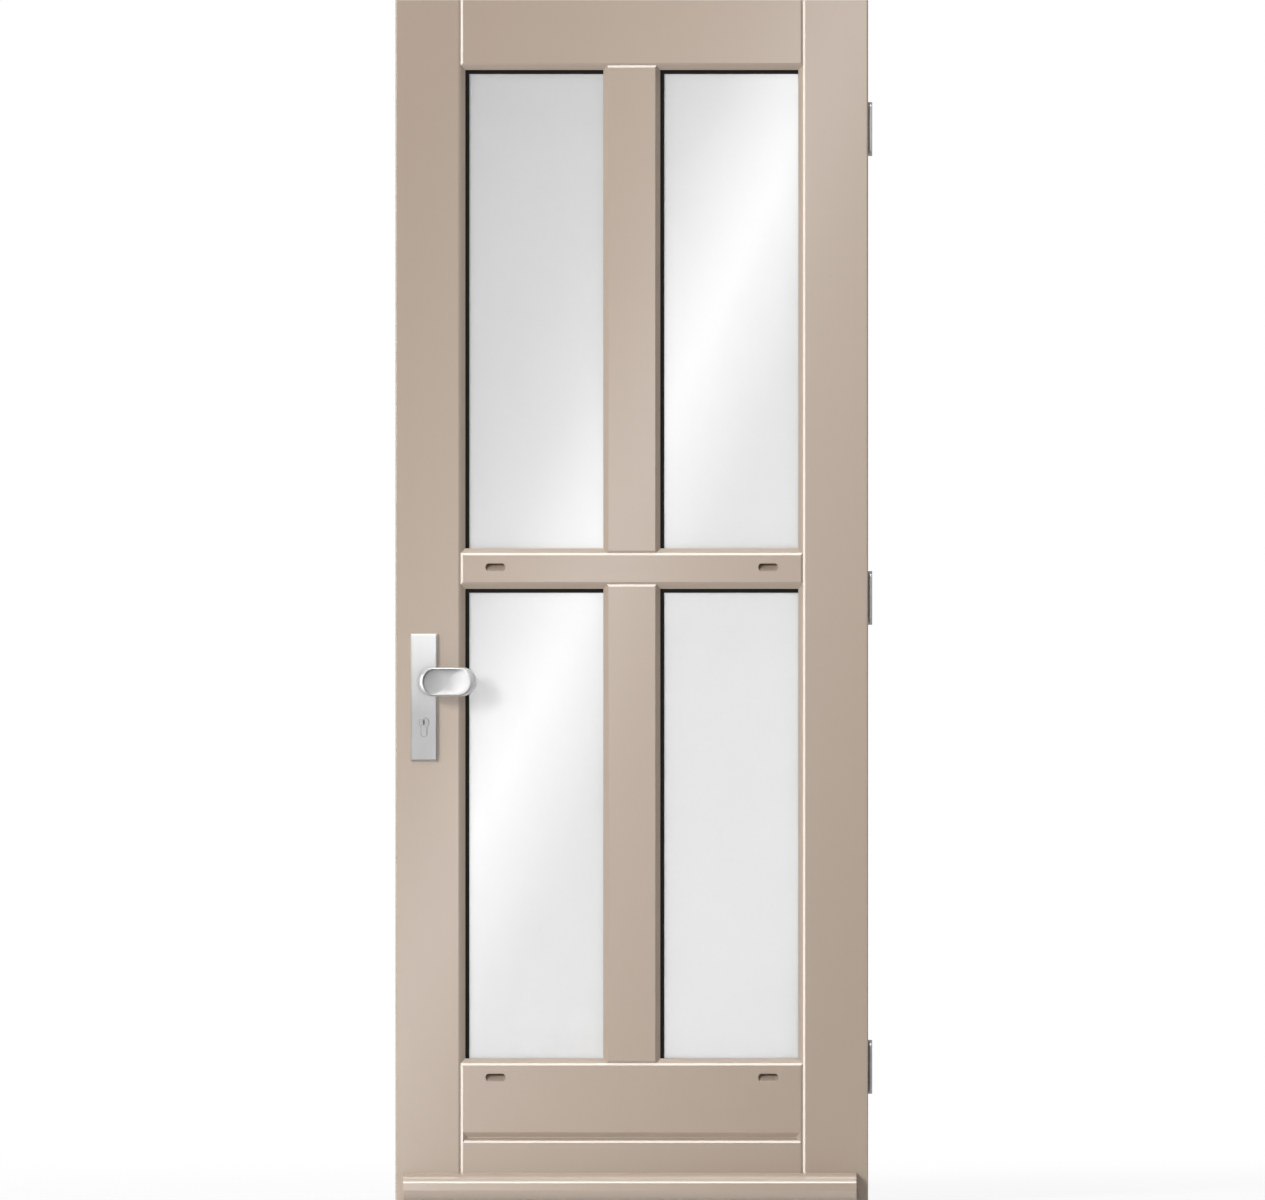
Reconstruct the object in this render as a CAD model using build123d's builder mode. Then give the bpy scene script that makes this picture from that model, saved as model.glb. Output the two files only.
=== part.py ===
"""Glazed hardwood front door leaf, hung on three butt hinges and shut, in millimetres.

X runs to the right as seen from outside, Y into the building and Z up. The origin is on
the back of the lower hinge's frame leaf, at the middle of its plate.
"""

import os

from build123d import *

# Leaf
leaf_width = 830
leaf_height = 2115
leaf_thickness = 54
edge_rounding = 3

# Flat faces of the members, without their mouldings
stile_face = 110.5
top_rail_face = 110.5
middle_rail_face = 47
middle_rail_height = 1116.5
bottom_rail_face = 244
muntin_face = 82

# Moulding round the glass, seen from outside: a small chamfer, a bevel, then a square lip
vee_width = 4
vee_depth = 2.3
bevel_width = 8
bevel_depth = 7.5
muntin_bevel = 9
lip_thickness = 13
rebate_depth = 14
inside_joint_chamfer = 2
cut_over = 1

# Glazing, from the lip to the inside face
outer_seal_thickness = 3
sheet_thickness = 4
cavity = 14
inner_seal_thickness = 3
glass_edge_gap = 4
spacer_width = 9
seal_hidden = 9
seal_shown = 7
seal_tuck = 0.5
bead_chamfer = 5
bead_joint_gap = 0.3

# Groove across the bottom rail, with hipped ends
groove_height = 117.5
groove_floor = 2
groove_upper = 9
groove_lower = 4.5
groove_depth = 8

# Slanted slots that drain the glass rebates
vent_width = 35
vent_bore = 10
vent_slope = 45
vent_inset = 67
vent_drop = 33.5
vent_reach = 42

# Weatherboard
board_left_inset = 14
board_right_inset = 21
board_top = 55.5
board_flat = 20
board_flat_drop = 3.5
board_nose = 38.5
board_bottom = 6
board_depth = 40
board_nose_radius = 1
board_under_radius = 20
drip_width = 6
drip_depth = 5
drip_setback = 27

# Lock furniture
backset = 50
knob_height = 918
cylinder_drop = 72
plate_width = 46.5
plate_height = 223
plate_drop = 27.5
plate_bevel = 3.5
plate_bevel_depth = 2.5
outside_plate_thickness = 10
inside_plate_thickness = 8

# Offset knob outside
knob_offset = 41
knob_length = 104
knob_width = 51
knob_face_length = 81
knob_face_width = 45.6
knob_back_taper = 25
knob_neck = 26
knob_swell = 9
knob_crown = 13
neck_diameter = 17
neck_foot_diameter = 22
neck_foot_height = 10

# Lever inside
lever_diameter = 19
lever_length = 128
lever_standoff = 48
lever_rose_diameter = 30
lever_rose_thickness = 5

# Profile cylinder with a turning plug
cylinder_round = 17
cylinder_web = 10
cylinder_tall = 33
cylinder_stand = 2.5
cylinder_hole_clearance = 0.4
plug_diameter = 13
plug_length = 30
plug_clearance = 0.1
keyway_width = 2.6
keyway_height = 9
keyway_depth = 24
keyway_rise = 1

# Lock forend in the edge
forend_width = 24
forend_height = 235
forend_thickness = 3
forend_clearance = 0.2
bolt_thickness = 13
latch_height = 32
dead_bolt_height = 36
bolt_clearance = 0.5

# Butt hinges
lower_hinge_height = 240
upper_hinge_drop = 225
hinge_height = 89
hinge_plate_width = 36
hinge_plate_thickness = 3
hinge_gap = 3
hinge_corner = 8
hinge_pocket_clearance = 0.2
knuckle_count = 3
knuckle_diameter = 13
knuckle_gap = 0.4
knuckle_stand = 1.5
pin_diameter = 7
pin_clearance = 0.1
pin_head_height = 3
screw_spread = 18
screw_rise = 62
screw_hole = 5.2

# Places that follow from the sizes
moulding_width = vee_width + bevel_width
hinge_edge = -(hinge_plate_thickness + hinge_gap)
lock_edge = hinge_edge - leaf_width
centre = (lock_edge + hinge_edge) / 2
inside = hinge_plate_width / 2
outside = inside - leaf_thickness
foot = -lower_hinge_height
head = foot + leaf_height
mid_depth = (inside + outside) / 2

stile_sight = stile_face + moulding_width
stile_back = stile_sight - rebate_depth
muntin_sight = muntin_face / 2 + muntin_bevel
top_edge = head - top_rail_face
middle_top_edge = foot + middle_rail_height + middle_rail_face / 2
middle_low_edge = foot + middle_rail_height - middle_rail_face / 2
bottom_edge = foot + bottom_rail_face

outer_sheet = outside + lip_thickness + outer_seal_thickness
inner_sheet = outer_sheet + sheet_thickness + cavity
bead_front = inner_sheet + sheet_thickness + inner_seal_thickness
sheet_cover = rebate_depth - glass_edge_gap

lock_x = lock_edge + backset
knob_z = foot + knob_height
cylinder_z = knob_z - cylinder_drop
plate_z = knob_z - plate_drop
cylinder_front = outside - outside_plate_thickness - cylinder_stand
cylinder_back = inside + inside_plate_thickness + cylinder_stand

hinge_x = hinge_edge + hinge_gap / 2
hinge_y = inside + knuckle_stand + knuckle_diameter / 2
lower_hinge = foot + lower_hinge_height
upper_hinge = head - upper_hinge_drop
hinge_heights = (lower_hinge, (lower_hinge + upper_hinge) / 2, upper_hinge)

openings = {
    "upper_left": (
        lock_edge + stile_sight,
        centre - muntin_sight,
        middle_top_edge + moulding_width,
        top_edge - moulding_width,
    ),
    "upper_right": (
        centre + muntin_sight,
        hinge_edge - stile_sight,
        middle_top_edge + moulding_width,
        top_edge - moulding_width,
    ),
    "lower_left": (
        lock_edge + stile_sight,
        centre - muntin_sight,
        bottom_edge + moulding_width,
        middle_low_edge - moulding_width,
    ),
    "lower_right": (
        centre + muntin_sight,
        hinge_edge - stile_sight,
        bottom_edge + moulding_width,
        middle_low_edge - moulding_width,
    ),
}


def facing(depth):
    """Plane across the door at a depth, drawn in X and Z; a minus extrusion goes inwards."""
    return Plane.XZ.offset(-depth)


def moulded_edge(face_end, side):
    """Across and depth of one glazed edge, from the outside face round to the inside face."""
    sight = face_end + side * moulding_width
    back = sight - side * rebate_depth
    return [
        (face_end, outside),
        (face_end + side * vee_width, outside + vee_depth),
        (sight, outside + vee_depth + bevel_depth),
        (sight, outside + lip_thickness),
        (back, outside + lip_thickness),
        (back, inside),
    ]


def bevelled_edge(sight, side):
    """Like a moulded edge that ends at the same sight line, with one bevel from face to lip."""
    lip = moulded_edge(sight - side * moulding_width, side)[2:]
    return [(sight - side * muntin_bevel, outside), *lip]


def turned(points):
    """The same outline with depth first, for pieces that lie across the door."""
    return [(depth, across) for across, depth in points]


def joint_outlines(face_end, side):
    """Cuts at a member's end: the outside vee beyond its neighbour's chamfer, and the inside chamfer."""
    back = face_end + side * (moulding_width - rebate_depth)
    vee = [
        (face_end, outside),
        (face_end, outside - cut_over),
        (face_end + side * 2 * vee_width, outside - cut_over),
        (face_end + side * 2 * vee_width, outside),
        (face_end + side * vee_width, outside + vee_depth),
    ]
    chamfered = [
        (back, inside + cut_over),
        (back, inside - inside_joint_chamfer),
        (back + side * inside_joint_chamfer, inside),
        (back + side * inside_joint_chamfer, inside + cut_over),
    ]
    return [vee, chamfered]


def save(block, name):
    """Label a finished piece and write its file."""
    block.part.label = name
    export_step(block.part, f"parts/{name}.step")


def euro_profile(depth, clearance):
    """Outline of the profile cylinder at a depth, grown by a clearance."""
    web_radius = cylinder_web / 2 + clearance
    web_drop = cylinder_tall - cylinder_round / 2 - cylinder_web / 2
    with BuildSketch(facing(depth)) as profile:
        with Locations((lock_x, cylinder_z)):
            Circle(cylinder_round / 2 + clearance)
        with Locations((lock_x, cylinder_z - web_drop / 2)):
            Rectangle(2 * web_radius, web_drop)
        with Locations((lock_x, cylinder_z - web_drop)):
            Circle(web_radius)
    return profile.sketch


os.makedirs("parts", exist_ok=True)
cylinder_outline = euro_profile(cylinder_front, 0)
cylinder_hole = euro_profile(cylinder_front, cylinder_hole_clearance)

# Lock stile, with the forend's housing and the cylinder's hole
with BuildPart() as lock_stile:
    with BuildSketch(Plane.XY.offset(foot)):
        with BuildLine():
            Polyline(
                (lock_edge, outside),
                *moulded_edge(lock_edge + stile_face, 1),
                (lock_edge, inside),
                close=True,
            )
        make_face()
    extrude(amount=leaf_height)
    fillet(lock_stile.edges().filter_by(Axis.Z).group_by(Axis.X)[0], edge_rounding)
    with BuildSketch(Plane.YZ.offset(lock_edge)):
        with Locations((mid_depth, plate_z)):
            SlotOverall(
                forend_height + 2 * forend_clearance,
                forend_width + 2 * forend_clearance,
                rotation=90,
            )
    extrude(amount=forend_thickness, mode=Mode.SUBTRACT)
    extrude(cylinder_hole, amount=cylinder_front - cylinder_back, mode=Mode.SUBTRACT)
save(lock_stile, "lock_stile")

# Hinge stile, with a housing for each hinge's door leaf
with BuildPart() as hinge_stile:
    with BuildSketch(Plane.XY.offset(foot)):
        with BuildLine():
            Polyline(
                (hinge_edge, outside),
                *moulded_edge(hinge_edge - stile_face, -1),
                (hinge_edge, inside),
                close=True,
            )
        make_face()
    extrude(amount=leaf_height)
    fillet(hinge_stile.edges().filter_by(Axis.Z).group_by(Axis.X)[-1], edge_rounding)
    for hinge_z in hinge_heights:
        with BuildSketch(Plane.YZ.offset(hinge_edge)) as housing:
            with Locations((0, hinge_z)):
                Rectangle(
                    hinge_plate_width + 2 * hinge_pocket_clearance,
                    hinge_height + 2 * hinge_pocket_clearance,
                )
            fillet(
                housing.vertices().group_by(Axis.X)[0],
                hinge_corner + hinge_pocket_clearance,
            )
        extrude(amount=-hinge_plate_thickness, mode=Mode.SUBTRACT)
save(hinge_stile, "hinge_stile")

# Shape of the groove, kept apart from the rail that it is cut from
groove_left = lock_edge + stile_face + 2 * vee_width
groove_right = hinge_edge - stile_face - 2 * vee_width
groove_high = foot + groove_height + groove_floor / 2
groove_low = foot + groove_height - groove_floor / 2
with BuildPart() as groove_cut:
    with BuildSketch(Plane.YZ.offset(groove_left)):
        with BuildLine():
            Polyline(
                (outside, groove_high + groove_upper),
                (outside + groove_depth, groove_high),
                (outside + groove_depth, groove_low),
                (outside + vee_depth, groove_low - groove_lower),
                (outside, groove_low - groove_lower - vee_width),
                close=True,
            )
        make_face()
    extrude(amount=groove_right - groove_left)
    for groove_end, side in ((groove_left, 1), (groove_right, -1)):
        with BuildSketch(Plane.XY.offset(foot)):
            with BuildLine():
                Polyline(
                    (groove_end, outside),
                    (groove_end, outside + groove_depth),
                    (groove_end + side * groove_depth, outside + groove_depth),
                    close=True,
                )
            make_face()
        extrude(amount=leaf_height, mode=Mode.SUBTRACT)


def rail(name, outline, vents=None, groove=False):
    """One rail, coped over the mouldings of both stiles."""
    left = lock_edge + stile_back
    right = hinge_edge - stile_back
    with BuildPart() as block:
        with BuildSketch(Plane.YZ.offset(left)):
            with BuildLine():
                Polyline(*turned(outline), close=True)
            make_face()
        extrude(amount=right - left)
        add(lock_stile.part, mode=Mode.SUBTRACT)
        add(hinge_stile.part, mode=Mode.SUBTRACT)
        ends = joint_outlines(lock_edge + stile_face, 1)
        ends += joint_outlines(hinge_edge - stile_face, -1)
        for end in ends:
            with BuildSketch(Plane.XY.offset(foot)):
                with BuildLine():
                    Polyline(*end, close=True)
                make_face()
            extrude(amount=leaf_height, mode=Mode.SUBTRACT)
        if vents is not None:
            for x in (left + vent_inset, right - vent_inset):
                mouth = Plane(
                    origin=(x, outside, vents),
                    x_dir=(1, 0, 0),
                    z_dir=(0, -1, 0),
                ).rotated((vent_slope, 0, 0))
                with BuildSketch(mouth):
                    SlotOverall(vent_width, vent_bore)
                extrude(amount=-vent_reach, mode=Mode.SUBTRACT)
                with BuildSketch(mouth):
                    SlotOverall(vent_width, vent_bore)
                extrude(amount=vent_bore, mode=Mode.SUBTRACT)
        if groove:
            add(groove_cut.part, mode=Mode.SUBTRACT)
    save(block, name)
    return block.part


top_rail = rail(
    "top_rail",
    [(head, outside), *moulded_edge(top_edge, -1), (head, inside)],
)
middle_rail = rail(
    "middle_rail",
    [*moulded_edge(middle_top_edge, 1), *reversed(moulded_edge(middle_low_edge, -1))],
    vents=middle_top_edge + moulding_width - vent_drop,
)
bottom_rail = rail(
    "bottom_rail",
    [(foot, outside), *moulded_edge(bottom_edge, 1), (foot, inside)],
    vents=bottom_edge + moulding_width - vent_drop,
    groove=True,
)


def muntin(name, low_rail, low_edge, high_rail, high_edge):
    """One upright between two rows of glass, coped over the rails below and above it."""
    grip = moulding_width - rebate_depth
    with BuildPart() as block:
        with BuildSketch(Plane.XY.offset(low_edge + grip)):
            with BuildLine():
                Polyline(
                    *bevelled_edge(centre + muntin_sight, 1),
                    *reversed(bevelled_edge(centre - muntin_sight, -1)),
                    close=True,
                )
            make_face()
        extrude(amount=high_edge - low_edge - 2 * grip)
        add(low_rail, mode=Mode.SUBTRACT)
        add(high_rail, mode=Mode.SUBTRACT)
        for end in joint_outlines(low_edge, 1) + joint_outlines(high_edge, -1):
            with BuildSketch(Plane.YZ.offset(centre - muntin_sight)):
                with BuildLine():
                    Polyline(*turned(end), close=True)
                make_face()
            extrude(amount=2 * muntin_sight, mode=Mode.SUBTRACT)
    save(block, name)


muntin("upper_muntin", middle_rail, middle_top_edge, top_rail, top_edge)
muntin("lower_muntin", bottom_rail, bottom_edge, middle_rail, middle_low_edge)


def border(left, right, low, high):
    """Rectangle between four edges in the open sketch."""
    with Locations(((left + right) / 2, (low + high) / 2)):
        Rectangle(right - left, high - low)


def opened(left, right, low, high):
    """Rectangular hole between four edges in the open sketch."""
    with Locations(((left + right) / 2, (low + high) / 2)):
        Rectangle(right - left, high - low, mode=Mode.SUBTRACT)


# Double glazing: two sheets with a spacer, seals on both faces and beads from inside
for place, (left, right, low, high) in openings.items():
    sheet = (left - sheet_cover, right + sheet_cover, low - sheet_cover, high + sheet_cover)
    hidden = (left - seal_hidden, right + seal_hidden, low - seal_hidden, high + seal_hidden)

    with BuildPart() as glass:
        for depth in (outer_sheet, inner_sheet):
            with BuildSketch(facing(depth)):
                border(*sheet)
            extrude(amount=-sheet_thickness)
    save(glass, f"{place}_glass")

    with BuildPart() as spacer:
        with BuildSketch(facing(outer_sheet + sheet_thickness)):
            border(*sheet)
            opened(
                sheet[0] + spacer_width,
                sheet[1] - spacer_width,
                sheet[2] + spacer_width,
                sheet[3] - spacer_width,
            )
        extrude(amount=-cavity)
    save(spacer, f"{place}_spacer")

    with BuildPart() as seals:
        with BuildSketch(facing(outside + lip_thickness)):
            border(*hidden)
            opened(left + seal_shown, right + seal_tuck, low - seal_tuck, high - seal_shown)
        extrude(amount=-outer_seal_thickness)
        with BuildSketch(facing(inner_sheet + sheet_thickness)):
            border(*hidden)
            opened(left - seal_tuck, right + seal_tuck, low - seal_tuck, high + seal_tuck)
        extrude(amount=-inner_seal_thickness)
    save(seals, f"{place}_seals")

    with BuildPart() as beads:
        for edge, side in ((left, -1), (right, 1)):
            with BuildSketch(Plane.XY.offset(low - rebate_depth)):
                with BuildLine():
                    Polyline(
                        (edge, bead_front),
                        (edge + side * rebate_depth, bead_front),
                        (edge + side * rebate_depth, inside),
                        (edge + side * bead_chamfer, inside),
                        (edge, inside - bead_chamfer),
                        close=True,
                    )
                make_face()
            extrude(amount=high - low + 2 * rebate_depth)
        for edge, side in ((low, -1), (high, 1)):
            with BuildSketch(Plane.YZ.offset(left + bead_joint_gap)):
                with BuildLine():
                    Polyline(
                        (bead_front, edge),
                        (bead_front, edge + side * rebate_depth),
                        (inside, edge + side * rebate_depth),
                        (inside, edge + side * bead_chamfer),
                        (inside - bead_chamfer, edge),
                        close=True,
                    )
                make_face()
            extrude(amount=right - left - 2 * bead_joint_gap)
    save(beads, f"{place}_beads")

# Weatherboard across the foot, rounded down to its nose, with a drip groove under it
with BuildPart() as weatherboard:
    with BuildSketch(Plane.YZ.offset(lock_edge + board_left_inset)) as board_section:
        with BuildLine():
            top = Line(
                (outside, foot + board_top),
                (outside - board_flat, foot + board_top - board_flat_drop),
            )
            TangentArc(
                top @ 1,
                (outside - board_depth, foot + board_nose),
                tangent=top % 1,
            )
            Polyline(
                (outside - board_depth, foot + board_nose),
                (outside - board_depth, foot + board_bottom),
                (outside, foot + board_bottom),
                (outside, foot + board_top),
            )
        make_face()
        front = board_section.vertices().group_by(Axis.X)[0].sort_by(Axis.Y)
        fillet(front[1], board_nose_radius)
        under = board_section.vertices().group_by(Axis.Y)[0].sort_by(Axis.X)
        fillet(under[0], board_under_radius)
        with Locations((outside - board_depth + drip_setback, foot + board_bottom)):
            Rectangle(drip_width, 2 * drip_depth, mode=Mode.SUBTRACT)
    extrude(amount=leaf_width - board_left_inset - board_right_inset)
save(weatherboard, "weatherboard")


def lock_plate(name, face, thickness, way):
    """Long plate with bevelled edges and the cylinder's hole; way points off the door."""
    with BuildPart() as block:
        with BuildSketch(Plane(origin=(lock_x, face, plate_z), x_dir=(1, 0, 0), z_dir=(0, way, 0))):
            Rectangle(plate_width, plate_height)
        extrude(amount=thickness)
        rim = block.faces().sort_by(Axis.Y)[-1 if way > 0 else 0]
        chamfer(rim.edges(), plate_bevel_depth, plate_bevel, reference=rim)
        extrude(cylinder_hole, amount=cylinder_front - cylinder_back, mode=Mode.SUBTRACT)
    save(block, name)


lock_plate("outside_plate", outside, outside_plate_thickness, -1)
lock_plate("inside_plate", inside, inside_plate_thickness, 1)

# Fixed knob: a turned neck carries an oval grip by its end, set towards the hinges
plate_front = outside - outside_plate_thickness
grip_widest = facing(plate_front - knob_neck - knob_swell)
grip_face = facing(plate_front - knob_neck - knob_swell - knob_crown)
grip_sizes = ((grip_widest, knob_length, knob_width), (grip_face, knob_face_length, knob_face_width))
with BuildPart() as outside_knob:
    with BuildSketch(Plane(origin=(lock_x, plate_front, knob_z), x_dir=(1, 0, 0), z_dir=(0, 0, -1))):
        with BuildLine():
            Polyline(
                (0, 0),
                (neck_foot_diameter / 2, 0),
                (neck_diameter / 2, neck_foot_height),
                (neck_diameter / 2, knob_neck),
                (0, knob_neck),
                close=True,
            )
        make_face()
    revolve(axis=Axis((lock_x, plate_front, knob_z), (0, -1, 0)))
    with BuildSketch(grip_widest):
        with Locations((lock_x + knob_offset, knob_z)):
            SlotOverall(knob_length, knob_width)
    extrude(amount=-knob_swell, taper=knob_back_taper)
    for section, length, width in grip_sizes:
        with BuildSketch(section):
            with Locations((lock_x + knob_offset, knob_z)):
                SlotOverall(length, width)
    loft(ruled=True)
save(outside_knob, "outside_knob")

# Lever inside: a bar mitred at its corner, on a round rose
lever_start = inside + inside_plate_thickness
lever_line = lever_start + lever_standoff
with BuildPart() as inside_lever:
    with BuildSketch(facing(lever_start)):
        with Locations((lock_x, knob_z)):
            Circle(lever_rose_diameter / 2)
    extrude(amount=-lever_rose_thickness)
    with BuildLine():
        Polyline(
            (lock_x, lever_start, knob_z),
            (lock_x, lever_line, knob_z),
            (lock_x + lever_length, lever_line, knob_z),
        )
    with BuildSketch(Plane(origin=(lock_x, lever_start, knob_z), x_dir=(1, 0, 0), z_dir=(0, 1, 0))):
        Circle(lever_diameter / 2)
    sweep(transition=Transition.RIGHT)
save(inside_lever, "inside_lever")

# Profile cylinder through the stile and both plates, bored for the plug
with BuildPart() as lock_cylinder:
    extrude(cylinder_outline, amount=cylinder_front - cylinder_back)
    with BuildSketch(facing(cylinder_front)):
        with Locations((lock_x, cylinder_z)):
            Circle(plug_diameter / 2 + plug_clearance)
    extrude(amount=-plug_length, mode=Mode.SUBTRACT)
save(lock_cylinder, "lock_cylinder")

# Plug that the key turns
with BuildPart() as cylinder_plug:
    with BuildSketch(facing(cylinder_front)):
        with Locations((lock_x, cylinder_z)):
            Circle(plug_diameter / 2)
    extrude(amount=-plug_length)
    with BuildSketch(facing(cylinder_front)):
        with Locations((lock_x, cylinder_z + keyway_rise)):
            SlotOverall(keyway_height, keyway_width, rotation=90)
    extrude(amount=-keyway_depth, mode=Mode.SUBTRACT)
save(cylinder_plug, "cylinder_plug")

# Forend and the two bolts, drawn back level with the edge
bolt_sizes = ((knob_z, latch_height), (cylinder_z, dead_bolt_height))
with BuildPart() as lock_forend:
    with BuildSketch(Plane.YZ.offset(lock_edge)):
        with Locations((mid_depth, plate_z)):
            SlotOverall(forend_height, forend_width, rotation=90)
        for bolt_z, bolt_height in bolt_sizes:
            with Locations((mid_depth, bolt_z)):
                Rectangle(
                    bolt_thickness + 2 * bolt_clearance,
                    bolt_height + 2 * bolt_clearance,
                    mode=Mode.SUBTRACT,
                )
    extrude(amount=forend_thickness)
save(lock_forend, "lock_forend")

with BuildPart() as lock_bolts:
    with BuildSketch(Plane.YZ.offset(lock_edge)):
        for bolt_z, bolt_height in bolt_sizes:
            with Locations((mid_depth, bolt_z)):
                Rectangle(bolt_thickness, bolt_height)
    extrude(amount=forend_thickness)
save(lock_bolts, "lock_bolts")


def hinge_leaves(name, back, way, knuckles):
    """One half of each hinge: a plate with screw holes, and its share of the knuckles round the pin."""
    pitch = hinge_height / knuckle_count
    middle = back + way * hinge_plate_thickness / 2
    with BuildPart() as block:
        for height in hinge_heights:
            plate = Plane(origin=(back, 0, height), x_dir=(0, 1, 0), z_dir=(1, 0, 0))
            with BuildSketch(plate) as outline:
                Rectangle(hinge_plate_width, hinge_height)
                fillet(outline.vertices().group_by(Axis.X)[0], hinge_corner)
                with GridLocations(screw_spread, screw_rise, 2, 2):
                    Circle(screw_hole / 2, mode=Mode.SUBTRACT)
            extrude(amount=way * hinge_plate_thickness)
            low_end = height - hinge_height / 2
            for index in knuckles:
                with BuildSketch(Plane.XY.offset(low_end + index * pitch + knuckle_gap / 2)):
                    with Locations((hinge_x, hinge_y)):
                        Circle(knuckle_diameter / 2)
                    with Locations((middle, (inside + hinge_y) / 2)):
                        Rectangle(hinge_plate_thickness, hinge_y - inside)
                    with Locations((hinge_x, hinge_y)):
                        Circle(pin_diameter / 2 + pin_clearance, mode=Mode.SUBTRACT)
                extrude(amount=pitch - knuckle_gap)
    save(block, name)


# The frame's leaves have the end knuckles, the door's leaves those between them
end_knuckles = range(0, knuckle_count, 2)
inner_knuckles = range(1, knuckle_count, 2)
hinge_leaves("hinge_frame_leaves", 0, -1, end_knuckles)
hinge_leaves("hinge_door_leaves", hinge_edge - hinge_plate_thickness, 1, inner_knuckles)

# Pins with heads that bear on the end knuckles
pin_half = (hinge_height - knuckle_gap) / 2
with BuildPart() as hinge_pins:
    for height in hinge_heights:
        with BuildSketch(Plane.XY.offset(height - pin_half)):
            with Locations((hinge_x, hinge_y)):
                Circle(pin_diameter / 2)
        extrude(amount=2 * pin_half)
        for head_foot in (height - pin_half - pin_head_height, height + pin_half):
            with BuildSketch(Plane.XY.offset(head_foot)):
                with Locations((hinge_x, hinge_y)):
                    Circle(knuckle_diameter / 2)
            extrude(amount=pin_head_height)
save(hinge_pins, "hinge_pins")
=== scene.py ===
"""Looks of a glazed hardwood front door: its finishes, handles, screws and studio.

Lengths are in metres, in the frame of the solids: X to the right as seen from outside, Y into
the building and Z up. Every piece is at rest with the door shut.
"""

import logging
import math
from collections.abc import Callable, Iterator
from contextlib import contextmanager
from dataclasses import dataclass
from enum import Enum

import bmesh
import bpy
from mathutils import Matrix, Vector


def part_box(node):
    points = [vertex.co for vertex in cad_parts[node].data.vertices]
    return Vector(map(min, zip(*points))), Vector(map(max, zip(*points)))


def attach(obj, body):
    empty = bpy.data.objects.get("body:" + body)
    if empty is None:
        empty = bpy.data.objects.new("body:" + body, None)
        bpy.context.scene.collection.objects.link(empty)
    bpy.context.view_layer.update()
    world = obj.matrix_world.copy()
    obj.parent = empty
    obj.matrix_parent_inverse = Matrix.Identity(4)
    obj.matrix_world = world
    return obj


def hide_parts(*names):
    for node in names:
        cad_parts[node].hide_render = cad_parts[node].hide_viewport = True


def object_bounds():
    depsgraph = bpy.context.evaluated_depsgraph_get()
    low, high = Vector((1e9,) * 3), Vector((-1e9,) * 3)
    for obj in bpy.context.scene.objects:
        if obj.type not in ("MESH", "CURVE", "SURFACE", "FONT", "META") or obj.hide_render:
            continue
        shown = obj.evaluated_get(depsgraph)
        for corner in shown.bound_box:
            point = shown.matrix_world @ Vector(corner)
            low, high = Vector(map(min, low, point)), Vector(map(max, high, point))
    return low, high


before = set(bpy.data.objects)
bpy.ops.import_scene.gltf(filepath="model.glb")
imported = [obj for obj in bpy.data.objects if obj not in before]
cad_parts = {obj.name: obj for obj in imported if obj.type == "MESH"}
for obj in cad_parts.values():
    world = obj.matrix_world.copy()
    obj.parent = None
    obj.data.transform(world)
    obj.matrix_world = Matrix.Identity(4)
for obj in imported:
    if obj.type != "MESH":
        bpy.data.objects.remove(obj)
SOLID_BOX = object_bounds()

LOG = logging.getLogger("front_door")
DOOR = "door_leaf"
JAMB = "hinge_frame_side"

PANES = ("upper_left", "upper_right", "lower_left", "lower_right")

# Points nearer to each other than this, in metres, lie in one place
TOUCH = 0.00001
# A face looks along an axis where this share of its normal does
SQUARE = 0.99
# Noise keeps mostly between these values
NOISE_RANGE = (0.3, 0.7)

Colour = tuple[float, float, float]
Triple = tuple[float, float, float]
Pair = tuple[float, float]
Socket = bpy.types.NodeSocket


class Grain(Enum):
    """Which way the wood runs: how finely its figure repeats along X, Y and Z, per metre."""

    UPRIGHT = (90.0, 90.0, 2.0)
    ACROSS = (2.0, 90.0, 90.0)


class Brushing(Enum):
    """Which way metal is brushed: how finely its scratches repeat along X, Y and Z, per metre."""

    UPRIGHT = (2600.0, 2600.0, 25.0)
    ACROSS = (25.0, 2600.0, 2600.0)


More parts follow.
